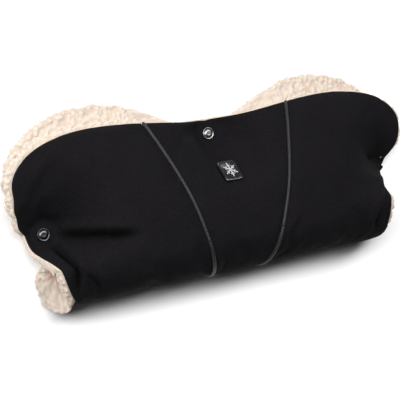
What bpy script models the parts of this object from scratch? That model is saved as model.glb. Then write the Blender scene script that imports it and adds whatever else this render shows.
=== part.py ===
"""Hand warmer muff for a pram handlebar, lying snapped shut on its back panel.

A padded sheet shaped like a peanut is folded once round the handlebar. Each layer of the
sheet is cut in zones: front, fold and back. From outside to inside the layers are a
softshell fabric in three panels joined by two piped seams, a wadding pad behind each
panel, and one thick pile lining. Three press studs hold the front to the back: one at the
dip between the two hand openings and one at each end.

Frame: metres, +Z up, +X across the width, +Y from the fold to the hand openings. The
origin is under the middle of the box, on the plane that the back panel rests on. The sheet
is described by x and by s, the length along it from the outermost line of the fold:
positive over the front, negative under the back.
"""

import bpy
import numpy as np
from mathutils import Matrix

# ---- the sheet and its layers ----
TUBE_R = 0.040            # outer radius of the fold round the handlebar
CROWN_R = 0.326           # radius of the front panel from the fold to the hand openings
SHELL_T = 0.0015          # softshell
WAD_T = 0.0030            # wadding
LINING_T = 0.0080         # pile lining
SNAP_WAD_T = 0.0010       # wadding squeezed at a press stud
SNAP_LINING_T = 0.0030    # lining squeezed at a press stud
EDGE_WAD_SHARE = 0.4      # wadding thins to this share along the outline
GAP = 0.0003              # clearance between touching pieces
JOIN = 0.00025            # half the clearance where two zones of one layer meet
LINING_OUTSET = 0.003     # the lining reaches this far past the softshell's edge
QUARTER = TUBE_R * np.pi / 2

# ---- outlines of the front and the back, as (x, y) with y from the outermost fold line ----
RIM_X = 0.211             # half width of the tube at the outermost fold line
RIM_FLARE = 0.0235        # extra half width where the end snaps sit
FRONT = dict(notch=(0.2345, 0.085), lobe=(0.155, 0.136), radii=(0.105, 0.0555), dip=0.180)
BACK = dict(notch=(0.2345, 0.085), lobe=(0.147, 0.134), radii=(0.107, 0.0785), dip=0.174)
CORNER = np.radians(35)   # angle on the lobe where the grid turns from side to top
WING_DROOP = 0.022        # how far the front sinks towards the ends of the tube
DROOP_FROM = 0.14
DROOP_SPAN = 0.12

# ---- press studs, as (x, y) on the sheet ----
SNAPS = dict(centre=(0.0, 0.1644), left=(-0.226, 0.082), right=(0.226, 0.082))
SNAP_Z = 0.018            # height of the front's outer face at a stud
SNAP_FLAT_R = 0.0155      # flat seat round a stud
PINCH_R = 0.028           # how far a stud's pull reaches over the front
SQUEEZE_R = 0.012         # how far the layers are squeezed round a stud
BACK_RECESS = 0.0013      # the back rises over a stud's flange by this
RECESS_R = 0.028          # where that rise starts
RECESS_FADE = 0.010       # and how far in it is complete
CAP_R = 0.0075
SOCKET_R = 0.0052
SOCKET_BORE_R = 0.0032
STUD_HEAD_R = 0.0018
FLANGE_R = 0.0055
BARREL_R = 0.0015
HOLE_R = 0.0020
STUD_SEAT = 0.0006        # the barrel's end stands this far past the front lining
STUD_PLAY = 0.0004        # gap between the stud's head and the barrel's end
SOCKET_T = 0.0026
FLANGE_T = 0.0009
POST_FLANGE_T = 0.0010
TURN_STEPS = 14
CUTTER_DEPTH = 0.04
WELD = 0.00001            # distance under which doubled points merge

# ---- piped seams ----
PIPE_R = 0.0022
PIPE_PROUD = 0.0009       # the piping's centre stands this far off the softshell
PIPE_X = 0.0345           # half distance between the seams at the outermost fold line
PIPE_SPREAD = 0.3147      # how fast the seams spread away from the fold
PIPE_BEND = 0.020         # length over which they turn at the fold
SEAM = PIPE_R + 0.0005    # each panel stops this far from the piping's centre line

# ---- badge ----
BADGE_S = 0.1382
BADGE_SIDE = 0.024
BADGE_CORNER = 0.004
BADGE_T = 0.0010
BADGE_LIFT = 0.0012
FLAKE_R = 0.0085
FLAKE_T = 0.0004
FLAKE_LIFT = 0.0030

# ---- hinge line of the front flap, as (y, z), and the frame's origin ----
HINGE = (0.004, 0.0416)
ORIGIN_Y = (PIPE_R + PIPE_PROUD - BACK["lobe"][1] - BACK["radii"][1] - LINING_OUTSET) / 2

# ---- grid stations, as shares of the way across and along each panel ----
FRONT_ROWS = (0, 0.11, 0.22, 0.33, 0.44, 0.55, 0.65, 0.74, 0.8265, 0.937, 1)
FRONT_WING = (0, 0.12, 0.24, 0.36, 0.48, 0.59, 0.70, 0.80, 0.89, 1)
FRONT_CENTRE = (-1, -0.72, -0.46, -0.24, -0.095, 0.095, 0.24, 0.46, 0.72, 1)
BACK_ROWS = (0, 0.13, 0.26, 0.39, 0.51, 0.63, 0.75, 0.868, 1)
BACK_WING = (0, 0.25, 0.5, 0.72, 0.90, 1)
BACK_CENTRE = (-1, -0.5, -0.10, 0.10, 0.5, 1)
FOLD_ROWS = np.linspace(-1, 1, 11)
FOLD_WING = (0, 0.33, 0.66, 0.86, 1)
FOLD_CENTRE = (-1, 0, 1)
SIDE_STATIONS = 4         # rows whose outer ends are placed round the end snap
BELOW_SNAP = 0.008        # the row under an end snap ends this far below its centre
ABOVE_SNAP = 0.006        # and the row over it this far above
PATH_STEPS = 40           # points on each stretch of an outline


# ---------------------------------------------------------------- the sheet's shape

def falloff(distance, flat, reach):
    """1 inside the flat radius, then a bell that fades with distance over the reach."""
    return np.exp(-(np.maximum(distance - flat, 0) / reach) ** 1.3)


def smoothstep(t):
    t = np.clip(t, 0, 1)
    return t * t * (3 - 2 * t)


def to_s(y, side):
    """Length along the sheet of a point at depth y: along the crown in front, flat behind."""
    y = np.asarray(y, float)
    if side > 0:
        return QUARTER + CROWN_R * np.arcsin((y - TUBE_R) / CROWN_R)
    return -(QUARTER + y - TUBE_R)


def snap_distances(x, y):
    return [np.hypot(x - sx, y - sy) for sx, sy in SNAPS.values()]


def sheet(x, s):
    """The sheet's outer face at (x, s).

    The section is half a circle round the handlebar, a large arc over the front and a
    straight line under the back. The front droops towards its ends with the square of the
    distance, and each press stud pulls it down to a flat seat.
    """
    x, s = np.broadcast_arrays(np.asarray(x, float), np.asarray(s, float))
    angle = np.clip(np.abs(s) / TUBE_R, 0, np.pi / 2)
    past = np.maximum(np.abs(s) - QUARTER, 0)
    over = past / CROWN_R
    front = s >= 0
    y = TUBE_R * (1 - np.cos(angle)) + np.where(front, CROWN_R * np.sin(over), past)
    top = TUBE_R * (1 + np.sin(angle)) - CROWN_R * (1 - np.cos(over))
    reach = smoothstep((top - TUBE_R) / TUBE_R)
    top = top - WING_DROOP * (np.maximum(np.abs(x) - DROOP_FROM, 0) / DROOP_SPAN) ** 2 * reach
    bottom = TUBE_R * (1 - np.sin(angle))
    clear_of_fold = smoothstep((y - TUBE_R) / 0.03)
    for distance in snap_distances(x, y):
        top = top + (SNAP_Z - top) * falloff(distance, SNAP_FLAT_R, PINCH_R) * clear_of_fold
        bottom = bottom + BACK_RECESS * smoothstep((RECESS_R - distance) / RECESS_FADE)
    z = np.where(front, top, bottom)
    return np.stack([x, y, z], axis=-1)


def outward(x, s, step=1e-4):
    """Unit normal of the sheet's outer face, from the cross product of its two slopes."""
    across = sheet(x + step, s) - sheet(x - step, s)
    along = sheet(x, s + step) - sheet(x, s - step)
    normal = np.cross(across, along)
    return normal / np.linalg.norm(normal, axis=-1, keepdims=True)


def pipe_x(s):
    """Half distance between the two piped seams: a straight spread, rounded at the fold."""
    return PIPE_X + PIPE_SPREAD * (np.sqrt(s * s + PIPE_BEND ** 2) - PIPE_BEND)


def rim_x(s):
    """Half width of the tube's open end."""
    notch_s = to_s(FRONT["notch"][1], 1)
    return RIM_X + RIM_FLARE * np.where(s > 0, s / notch_s, np.sin(np.clip(-s / TUBE_R, 0, np.pi / 2)))


# ---------------------------------------------------------------- outlines and grids

def along_path(path, shares):
    """Points at the given shares of a path's length."""
    path = np.asarray(path, float)
    run = np.concatenate([[0], np.cumsum(np.linalg.norm(np.diff(path, axis=0), axis=1))])
    where = np.asarray(shares, float) * run[-1]
    return np.stack([np.interp(where, run, path[:, k]) for k in range(2)], axis=-1)


def edge_paths(shape, side):
    """The outline's right half as two paths in (x, y): the side up to the lobe's corner,
    and the top from the middle of the dip out to that corner."""
    (notch_x, notch_y), (lobe_x, lobe_y), (rx, ry) = shape["notch"], shape["lobe"], shape["radii"]
    start = (float(rim_x(side * QUARTER)), TUBE_R)
    turn = np.linspace(0, np.pi / 2, PATH_STEPS)
    climb = (turn / (np.pi / 2) + 1 - np.cos(turn)) / 2
    low = np.stack([notch_x + (lobe_x + rx - notch_x) * np.sin(turn),
                    notch_y + (lobe_y - notch_y) * climb], axis=-1)
    high_turn = np.linspace(0, CORNER, PATH_STEPS)
    high = np.stack([lobe_x + rx * np.cos(high_turn), lobe_y + ry * np.sin(high_turn)], axis=-1)
    x = np.linspace(0, lobe_x, PATH_STEPS)
    rise = (lobe_y + ry - shape["dip"]) * (1 - np.cos(np.pi * x / lobe_x)) / 2
    dip = np.stack([x, shape["dip"] + rise], axis=-1)
    crest_turn = np.linspace(np.pi / 2, CORNER, PATH_STEPS)
    crest = np.stack([lobe_x + rx * np.cos(crest_turn), lobe_y + ry * np.sin(crest_turn)], axis=-1)
    return np.vstack([[start], low, high[1:]]), np.vstack([dip, crest[1:]])


def side_ends(side_path, rows):
    """Outer ends of a wing's rows: three cells up to just past the end snap, then even."""
    snap_y = SNAPS["right"][1]
    below, above = snap_y - BELOW_SNAP, snap_y + ABOVE_SNAP
    lower = [TUBE_R, (TUBE_R + below) / 2, below, above]
    y = side_path[:, 1]
    ends = [(np.interp(v, y, side_path[:, 0]), v) for v in lower[:SIDE_STATIONS]]
    rest = side_path[y > lower[-1]]
    rest = np.vstack([[ends[-1]], rest])
    more = along_path(rest, np.linspace(0, 1, rows - SIDE_STATIONS + 1)[1:])
    return np.vstack([ends, more])


def on_sheet(points, side):
    """Points given as (x, y) turned into (x, s)."""
    return np.stack([points[:, 0], to_s(points[:, 1], side)], axis=-1)


def patch(bottom, top, left, right, u, v):
    """Grid between four edges: the sum of the two straight blends less their corners.
    u and v are the shares of the way across and along at which its lines run."""
    u = np.asarray(u, float)[:, None, None]
    v = np.asarray(v, float)[None, :, None]
    across = (1 - u) * left[None] + u * right[None]
    along = (1 - v) * bottom[:, None] + v * top[:, None]
    corners = ((1 - u) * (1 - v) * left[0] + u * (1 - v) * right[0]
               + (1 - u) * v * left[-1] + u * v * right[-1])
    return across + along - corners


def panel_grids(shape, side, rows, wing_shares, centre_shares):
    """(x, s) grids of the right wing and of the centre panel of the front or the back."""
    rows = np.asarray(rows, float)
    side_path, top_path = edge_paths(shape, side)
    top = on_sheet(top_path, side)
    seam_top = top[np.argmin(np.abs(top[:, 0] - pipe_x(top[:, 1])))]
    seam_s = side * QUARTER + rows * (seam_top[1] - side * QUARTER)
    inner = np.stack([pipe_x(seam_s) + SEAM, seam_s], axis=-1)
    inner[-1] = (inner[-1, 0], np.interp(inner[-1, 0], top[:, 0], top[:, 1]))
    outer = on_sheet(side_ends(side_path, len(rows)), side)
    base = np.stack([np.interp(wing_shares, (0, 1), (inner[0, 0], outer[0, 0])),
                     np.full(len(wing_shares), side * QUARTER)], axis=-1)
    crest = top[top[:, 0] > inner[-1, 0]]
    crest = along_path(np.vstack([[inner[-1]], crest]), wing_shares)
    wing = patch(base, crest, inner, outer, wing_shares, rows)
    x = np.asarray(centre_shares)[:, None] * (pipe_x(seam_s) - SEAM)[None]
    end_s = np.interp(np.abs(x[:, -1]), top[:, 0], top[:, 1])
    s = side * QUARTER + rows[None] * (end_s[:, None] - side * QUARTER)
    return wing, np.stack([x, s], axis=-1)


def fold_grids():
    """(x, s) grids of the right wing and of the centre panel of the fold."""
    s = FOLD_ROWS * QUARTER
    inner = pipe_x(s) + SEAM
    x = inner + np.asarray(FOLD_WING)[:, None] * (rim_x(s) - inner)
    wing = np.stack([x, np.broadcast_to(s, x.shape)], axis=-1)
    x = np.asarray(FOLD_CENTRE)[:, None] * (pipe_x(s) - SEAM)
    return wing, np.stack([x, np.broadcast_to(s, x.shape)], axis=-1)


def mirrored(grid):
    """The same grid on the -X side, with its columns in order of increasing x."""
    return grid[::-1] * (-1, 1)


def upright(grid):
    """Rows in order of increasing s, so that every grid faces outwards."""
    return grid if grid[0, -1, 1] > grid[0, 0, 1] else grid[:, ::-1]


# ---------------------------------------------------------------- building solids

def material(name, colour, roughness, metallic=0.0):
    mat = bpy.data.materials.get(name) or bpy.data.materials.new(name)
    mat.use_nodes = True
    shader = mat.node_tree.nodes["Principled BSDF"]
    shader.inputs["Base Color"].default_value = (*colour, 1)
    shader.inputs["Roughness"].default_value = roughness
    shader.inputs["Metallic"].default_value = metallic
    return mat


def softshell():
    return material("softshell", (0.011, 0.010, 0.012), 0.85)


def wadding():
    return material("wadding", (0.75, 0.74, 0.72), 0.95)


def pile():
    return material("pile_lining", (0.82, 0.72, 0.64), 0.95)


def piping_cloth():
    return material("piping_cloth", (0.020, 0.020, 0.022), 0.6)


def snap_metal():
    return material("snap_metal", (0.45, 0.45, 0.47), 0.3, 1.0)


def badge_rubber():
    return material("badge_rubber", (0.010, 0.010, 0.011), 0.25)


def badge_thread():
    return material("badge_thread", (0.55, 0.56, 0.58), 0.4)


def add(name, data, mat, collection):
    obj = bpy.data.objects.new(name, data)
    collection.objects.link(obj)
    data.materials.clear()
    data.materials.append(mat)
    return obj


def layer_depths(grid):
    """Depths below the outer face at which the wadding ends and the lining begins and ends.

    Both layers are squeezed near a press stud, and the wadding thins along the outline.
    """
    points = sheet(grid[..., 0], grid[..., 1])
    squeeze = np.max([falloff(d, SNAP_FLAT_R, SQUEEZE_R)
                      for d in snap_distances(points[..., 0], points[..., 1])], axis=0)
    wad = WAD_T + (SNAP_WAD_T - WAD_T) * squeeze
    thick = LINING_T + (SNAP_LINING_T - LINING_T) * squeeze
    return wad, thick


def at_depth(grid, depth):
    """Points of the sheet at a depth below its outer face."""
    x, s = grid[..., 0], grid[..., 1]
    points = sheet(x, s) - outward(x, s) * np.asarray(depth)[..., None]
    return points + (0, ORIGIN_Y, 0)


def move_edges(points, left=0, right=0, bottom=0, top=0):
    """Move each edge of a grid along its own lines, inwards where the distance is positive."""
    points = points.copy()
    for edge, inner, distance in ((points[0], points[1], left), (points[-1], points[-2], right),
                                  (points[:, 0], points[:, 1], bottom),
                                  (points[:, -1], points[:, -2], top)):
        run = inner - edge
        edge += run * (distance / np.linalg.norm(run, axis=-1, keepdims=True))
    return points


def slab(name, outer, inner, mat, collection):
    """Closed solid between an outer and an inner grid of the same size."""
    columns, rows = outer.shape[:2]
    index = np.arange(columns * rows).reshape(columns, rows)
    a, b, c, d = index[:-1, :-1], index[1:, :-1], index[1:, 1:], index[:-1, 1:]
    skin = np.concatenate([np.stack([a, b, c], -1).reshape(-1, 3),
                           np.stack([a, c, d], -1).reshape(-1, 3)])
    ring = np.concatenate([index[:, 0], index[-1, 1:], index[-2::-1, -1], index[0, -2:0:-1]])
    ahead = np.roll(ring, -1)
    shift = columns * rows
    wall = np.concatenate([np.stack([ring, ring + shift, ahead + shift], -1),
                           np.stack([ring, ahead + shift, ahead], -1)])
    faces = np.concatenate([skin, skin[:, ::-1] + shift, wall])
    mesh = bpy.data.meshes.new(name)
    mesh.from_pydata(np.concatenate([outer.reshape(-1, 3), inner.reshape(-1, 3)]).tolist(),
                     [], faces.tolist())
    mesh.shade_smooth()
    mesh.set_sharp_from_angle(angle=np.radians(40))
    return add(name, mesh, mat, collection)


def layered_panel(zone, where, grid, collection, joins):
    """Softshell panel and wadding pad of one panel. The pad stops one cell short of the
    outline; joins gives the clearances at the seams to the neighbouring zones."""
    grid = upright(grid)
    outer_bottom, outer_top = zone == "back", zone == "front"
    wad, _ = layer_depths(grid)
    shell = [move_edges(at_depth(grid, np.full(wad.shape, d)), **joins) for d in (0, SHELL_T)]
    slab(f"{zone}_{where}_shell", *shell, softshell(), collection)
    start = SHELL_T + GAP
    pad = [move_edges(at_depth(grid, start + d), **joins) for d in (0 * wad, wad)]
    first_column = 1 if where == "left" else 0
    last_column = -1 if where == "right" else None
    rows = slice(1 if outer_bottom else 0, -1 if outer_top else None)
    pad = [layer[first_column:last_column, rows] for layer in pad]
    slab(f"{zone}_{where}_wadding", *pad, wadding(), collection)


def lining(zone, grids, collection, edges):
    """The pile lining of one zone, in one piece behind its three panels."""
    grid = upright(np.concatenate(grids))
    wad, thick = layer_depths(grid)
    share = np.ones(wad.shape)
    share[0] = EDGE_WAD_SHARE
    share[-1] = EDGE_WAD_SHARE
    if zone == "front":
        share[:, -1] = EDGE_WAD_SHARE
    start = SHELL_T + 2 * GAP + wad * share
    faces = [move_edges(at_depth(grid, d), left=-LINING_OUTSET, right=-LINING_OUTSET, **edges)
             for d in (start, start + thick)]
    slab(f"{zone}_lining", *faces, pile(), collection)


def piping(zone, where, s, collection, trim):
    """Piping along one seam of one zone. It stands proud of the softshell, but under the
    muff it sinks into the seam so that it never reaches below the resting plane."""
    s = np.asarray(s, float)
    angle = np.clip(-s / TUBE_R, 1e-6, np.pi / 2)
    sunk = (TUBE_R * (1 - np.sin(angle)) - PIPE_R) / np.sin(angle)
    lift = np.where(s >= 0, PIPE_PROUD, np.minimum(PIPE_PROUD, sunk))
    sign = -1 if where == "left" else 1
    grid = np.stack([sign * pipe_x(s), s], axis=-1)[None]
    points = at_depth(grid, -lift[None])[0]
    for end, inner, distance in ((0, 1, trim[0]), (-1, -2, trim[1])):
        run = points[inner] - points[end]
        points[end] += run * distance / np.linalg.norm(run)
    name = f"{zone}_{where}_piping"
    curve = bpy.data.curves.new(name, "CURVE")
    curve.dimensions = "3D"
    curve.bevel_depth = PIPE_R
    curve.bevel_resolution = 2
    curve.use_fill_caps = True
    spline = curve.splines.new("POLY")
    spline.points.add(len(points) - 1)
    for place, point in zip(spline.points, points):
        place.co = (*point, 1)
    return add(name, curve, piping_cloth(), collection)


def turned(name, profile, at, collection, ring=False):
    """A turned piece from a profile of (radius, height) down its outer side."""
    vertices = [(r, 0, z) for r, z in profile]
    edges = [(i, i + 1) for i in range(len(profile) - 1)]
    if ring:
        edges.append((len(profile) - 1, 0))
    mesh = bpy.data.meshes.new(name)
    mesh.from_pydata(vertices, edges, [])
    obj = add(name, mesh, snap_metal(), collection)
    screw = obj.modifiers.new("Screw", "SCREW")
    screw.steps = TURN_STEPS
    screw.render_steps = TURN_STEPS
    screw.use_merge_vertices = True
    screw.merge_threshold = WELD
    obj.location = (at[0], at[1] + ORIGIN_Y, 0)
    return obj


def snap_levels():
    """Heights of the faces that the parts of a press stud clamp."""
    layers = SHELL_T + GAP + SNAP_WAD_T + GAP + SNAP_LINING_T
    return SNAP_Z - layers, BACK_RECESS + layers


def press_stud(where, collection):
    """Cap, socket, stud and post of one press stud. Their profiles run down the outer side."""
    at = SNAPS[where]
    front_inner, back_inner = snap_levels()
    seat = SNAP_Z + GAP
    barrel_end = front_inner - STUD_SEAT
    cap = turned(f"{where}_snap_cap", [
        (0, seat + 0.0026), (0.0028, seat + 0.0024), (0.0044, seat + 0.0017),
        (0.0052, seat + 0.0019), (0.0066, seat + 0.0017), (CAP_R, seat + 0.0008), (CAP_R, seat),
        (BARREL_R, seat), (BARREL_R, barrel_end), (0, barrel_end)], at, collection)
    socket_top = front_inner - GAP
    socket_low = socket_top - SOCKET_T
    socket = turned(f"{where}_snap_socket", [
        (SOCKET_R - 0.0004, socket_top), (SOCKET_R, socket_top - 0.0005),
        (SOCKET_R, socket_low + 0.0005), (SOCKET_R - 0.0008, socket_low),
        (SOCKET_BORE_R, socket_low), (SOCKET_BORE_R, socket_top)], at, collection, ring=True)
    flange_low = back_inner + GAP
    flange_top = flange_low + FLANGE_T
    head_top = barrel_end - STUD_PLAY
    stud = turned(f"{where}_snap_stud", [
        (0, head_top), (STUD_HEAD_R - 0.0005, head_top), (STUD_HEAD_R, head_top - 0.0006),
        (STUD_HEAD_R, flange_top), (FLANGE_R - 0.0005, flange_top), (FLANGE_R - 0.0005, flange_low),
        (BARREL_R - 0.0004, flange_low), (BARREL_R - 0.0004, flange_low + 0.0012),
        (0, flange_low + 0.0012)], at, collection)
    post = turned(f"{where}_snap_post", [
        (0, flange_top), (BARREL_R - 0.0008, flange_top),
        (BARREL_R - 0.0008, POST_FLANGE_T), (FLANGE_R, POST_FLANGE_T), (FLANGE_R, 0), (0, 0)], at, collection)
    return (cap, socket), (stud, post)


def snap_cutter(where, cutters):
    """The hole that a press stud's barrels need through all layers, as a wire cutter."""
    x, y = SNAPS[where]
    bpy.ops.mesh.primitive_cylinder_add(vertices=10, radius=HOLE_R, depth=CUTTER_DEPTH,
                                        location=(x, y + ORIGIN_Y, SNAP_Z / 2))
    cutter = bpy.context.object
    cutter.name = f"{where}_snap_cutter"
    for collection in list(cutter.users_collection):
        collection.objects.unlink(cutter)
    cutters.objects.link(cutter)
    cutter.display_type = "WIRE"
    cutter.hide_render = True
    return cutter


def pierce(obj, cutter):
    hole = obj.modifiers.new("Snap hole", "BOOLEAN")
    hole.operation = "DIFFERENCE"
    hole.object = cutter


def wrapped(name, outline, thickness, lift, mat, collection):
    """A flat outline cut from sheet material and bent onto the front round the badge's centre."""
    curve = bpy.data.curves.new(name, "CURVE")
    curve.dimensions = "2D"
    curve.fill_mode = "BOTH"
    curve.extrude = thickness / 2
    spline = curve.splines.new("POLY")
    spline.points.add(len(outline) - 1)
    for place, (x, y) in zip(spline.points, outline):
        place.co = (x, y, 0, 1)
    spline.use_cyclic_u = True
    flat = bpy.data.objects.new(name + "_flat", curve)
    collection.objects.link(flat)
    bpy.context.view_layer.update()
    mesh = bpy.data.meshes.new_from_object(flat.evaluated_get(bpy.context.evaluated_depsgraph_get()))
    bpy.data.objects.remove(flat)
    local = np.empty(len(mesh.vertices) * 3)
    mesh.vertices.foreach_get("co", local)
    local = local.reshape(-1, 3)
    grid = np.stack([local[:, 0], BADGE_S + local[:, 1]], axis=-1)[None]
    mesh.vertices.foreach_set("co", at_depth(grid, -(lift + local[None, :, 2]))[0].ravel())
    weld = add(name, mesh, mat, collection).modifiers.new("Weld", "WELD")
    weld.merge_threshold = WELD


def rounded_square(side, corner, steps=5):
    """Outline of a square with round corners, anticlockwise."""
    points = []
    for quarter in range(4):
        turn = np.linspace(0, np.pi / 2, steps) + quarter * np.pi / 2
        middle = np.sqrt(2) * (side / 2 - corner)
        lean = np.pi / 4 + quarter * np.pi / 2
        points += list(zip(middle * np.cos(lean) + corner * np.cos(turn),
                           middle * np.sin(lean) + corner * np.sin(turn)))
    return points


def snowflake(radius):
    """Outline of a plain six-armed flake, each arm with one pair of side branches."""
    arm = [(0.16, 30), (0.46, 13), (0.66, 24), (0.74, 17), (0.58, 7.5), (1.0, 4.5)]
    arm_points = [(r, -a) for r, a in arm] + [(r, a) for r, a in reversed(arm[1:])]
    points = []
    for turn in range(6):
        for r, a in arm_points:
            angle = np.radians(90 + 60 * turn + a)
            points.append((radius * r * np.cos(angle), radius * r * np.sin(angle)))
    return points


# ---------------------------------------------------------------- the muff

def build():
    for obj in list(bpy.data.objects):
        bpy.data.objects.remove(obj)
    muff = bpy.data.collections.new("hand_warmer_muff")
    cutters = bpy.data.collections.new("cutters")
    bpy.context.scene.collection.children.link(muff)
    bpy.context.scene.collection.children.link(cutters)

    zones = {
        "front": panel_grids(FRONT, 1, FRONT_ROWS, FRONT_WING, FRONT_CENTRE),
        "fold": fold_grids(),
        "back": panel_grids(BACK, -1, BACK_ROWS, BACK_WING, BACK_CENTRE),
    }
    joins = {"front": dict(bottom=JOIN), "fold": dict(bottom=JOIN, top=JOIN), "back": dict(top=JOIN)}
    edges = {"front": dict(bottom=JOIN, top=-LINING_OUTSET), "fold": joins["fold"],
             "back": dict(top=JOIN, bottom=-LINING_OUTSET)}
    for zone, (wing, centre) in zones.items():
        panels = {"left": mirrored(wing), "centre": centre, "right": wing}
        for where, grid in panels.items():
            layered_panel(zone, where, grid, muff, joins[zone])
        lining(zone, list(panels.values()), muff, edges[zone])
        seam = upright(wing)[0, :, 1]
        trim = {"front": (JOIN, -0.001), "fold": (JOIN, JOIN), "back": (-0.001, JOIN)}[zone]
        for where in ("left", "right"):
            piping(zone, where, seam, muff, trim)

    wrapped("badge_patch", rounded_square(BADGE_SIDE, BADGE_CORNER), BADGE_T, BADGE_LIFT,
            badge_rubber(), muff)
    wrapped("badge_flake", snowflake(FLAKE_R), FLAKE_T, FLAKE_LIFT, badge_thread(), muff)

    flap = [obj for obj in muff.objects if obj.name.startswith(("front_", "badge_"))]
    for where in SNAPS:
        cutter = snap_cutter(where, cutters)
        for zone in ("front", "back"):
            pierce(bpy.data.objects[f"{zone}_{where}_shell"], cutter)
            pierce(bpy.data.objects[f"{zone}_lining"], cutter)
            if where == "centre":
                pierce(bpy.data.objects[f"{zone}_centre_wadding"], cutter)
        flap += press_stud(where, muff)[0]

    hinge = bpy.data.objects.new("front_flap_hinge", None)
    muff.objects.link(hinge)
    hinge.location = (0, HINGE[0] + ORIGIN_Y, HINGE[1])
    for obj in flap:
        obj.parent = hinge
        obj.matrix_parent_inverse = Matrix.Translation(hinge.location).inverted()


build()
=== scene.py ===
"""Looks of a hand warmer muff: softshell, piping, pile, press studs and badge round the CAD frame.

The muff is one padded sheet folded round a handlebar. Every soft piece is a function of x, the
place across the width, and s, the length along the sheet from the outermost line of the fold:
positive over the front, negative under the back. Lengths are metres, in the CAD's frame.
"""

import bpy
import numpy as np
from mathutils import Matrix, Vector


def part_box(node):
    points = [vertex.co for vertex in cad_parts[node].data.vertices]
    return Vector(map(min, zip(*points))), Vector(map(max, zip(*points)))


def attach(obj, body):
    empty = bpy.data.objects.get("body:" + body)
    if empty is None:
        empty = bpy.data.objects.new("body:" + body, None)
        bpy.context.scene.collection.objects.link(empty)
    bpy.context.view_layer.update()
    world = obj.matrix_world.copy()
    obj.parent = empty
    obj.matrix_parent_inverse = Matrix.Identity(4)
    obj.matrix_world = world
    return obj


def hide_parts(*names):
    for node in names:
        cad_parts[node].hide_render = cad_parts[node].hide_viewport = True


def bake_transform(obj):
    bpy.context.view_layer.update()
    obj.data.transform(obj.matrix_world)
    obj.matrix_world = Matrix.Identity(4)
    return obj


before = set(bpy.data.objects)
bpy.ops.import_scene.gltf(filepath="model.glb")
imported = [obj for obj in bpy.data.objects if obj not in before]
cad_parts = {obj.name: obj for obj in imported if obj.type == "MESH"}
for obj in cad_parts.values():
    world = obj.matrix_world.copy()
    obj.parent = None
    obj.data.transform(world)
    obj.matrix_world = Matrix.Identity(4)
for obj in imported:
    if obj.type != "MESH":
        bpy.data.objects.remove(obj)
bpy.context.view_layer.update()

# ---- the sheet, as the CAD has it ----
FOLD_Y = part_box("fold_centre_shell")[0].y
TUBE_R = 0.040
CROWN_R = 0.326
QUARTER = TUBE_R * np.pi / 2
RIM_X = 0.211
RIM_FLARE = 0.0235
FRONT = dict(side=1, notch=(0.2345, 0.085), lobe=(0.155, 0.136), radii=(0.105, 0.0555), dip=0.180)
BACK = dict(side=-1, notch=(0.2345, 0.085), lobe=(0.147, 0.134), radii=(0.107, 0.0785), dip=0.174)
CORNER = np.radians(35)
WING_DROOP = 0.022
DROOP_FROM = 0.14
DROOP_SPAN = 0.12
SNAP_Z = 0.018
SNAP_FLAT_R = 0.0155
PINCH_R = 0.028
SQUEEZE_R = 0.012
BACK_RECESS = 0.0013
RECESS_R = 0.028
RECESS_FADE = 0.010
SNAPS = {}
for snap in ("centre", "left", "right"):
    low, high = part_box(snap + "_snap_cap")
    SNAPS[snap] = ((low.x + high.x) / 2, (low.y + high.y) / 2 - FOLD_Y)

# ---- layers, as depths below the softshell's outer face ----
SHELL_T = 0.0015
WAD_TOP = 0.0021
WAD_T = 0.0030
PILE_TOP = 0.0021         # above the pile where there is no wadding
PILE_T = 0.0080
SNAP_WAD_T = 0.0010
SNAP_PILE_T = 0.0030
HEM_R = 0.0025            # the softshell rolls under along its outline
HEM_BAND = 0.014          # no wadding this near the outline
CREASE_GIVE = ((0.0015, 0.0021, 0.0051, 0.0055, 0.0131), (1, 1.05, 0.88, 0.87, 0.2))
TUCK_GIVE = ((0.0015, 0.0021, 0.0055, 0.0131), (1, 0.85, 0.60, 0.2))

# ---- piped seams ----
PIPE_R = 0.0022
PIPE_PROUD = 0.0009
PIPE_X = 0.0345
PIPE_SPREAD = 0.3147
PIPE_BEND = 0.020
TUCK = 0.0012             # a panel's edge is tucked this near the seam's line under the piping
BESIDE = 0.0026           # and stays this far off where the piping is sunk
SEAM_R = 0.0022           # radius with which the panels roll into a piped seam

# ---- how the muff slumps to one side as it lies ----
SEAM_SLUMP = (0.0025, 0.0105, 0.09)     # sideways at the top, drawn back at the fold, over this length
# at the ends, as (length along the sheet, how far sideways)
LEFT_SLUMP = ((-0.170, 0.0), (-0.136, 0.0140), (-0.088, 0.0140), (-0.045, 0.0), (0.000, 0.0),
              (0.063, -0.0037), (0.095, -0.0115), (0.112, -0.0115), (0.130, -0.0045), (0.152, 0.0))
RIGHT_SLUMP = ((-0.063, 0.0), (-0.006, -0.0140), (0.064, -0.0140), (0.094, 0.0080), (0.106, 0.0050),
               (0.120, -0.0020), (0.145, 0.0))
SLUMP_FROM = 0.10
SLUMP_SPAN = 0.11

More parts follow.
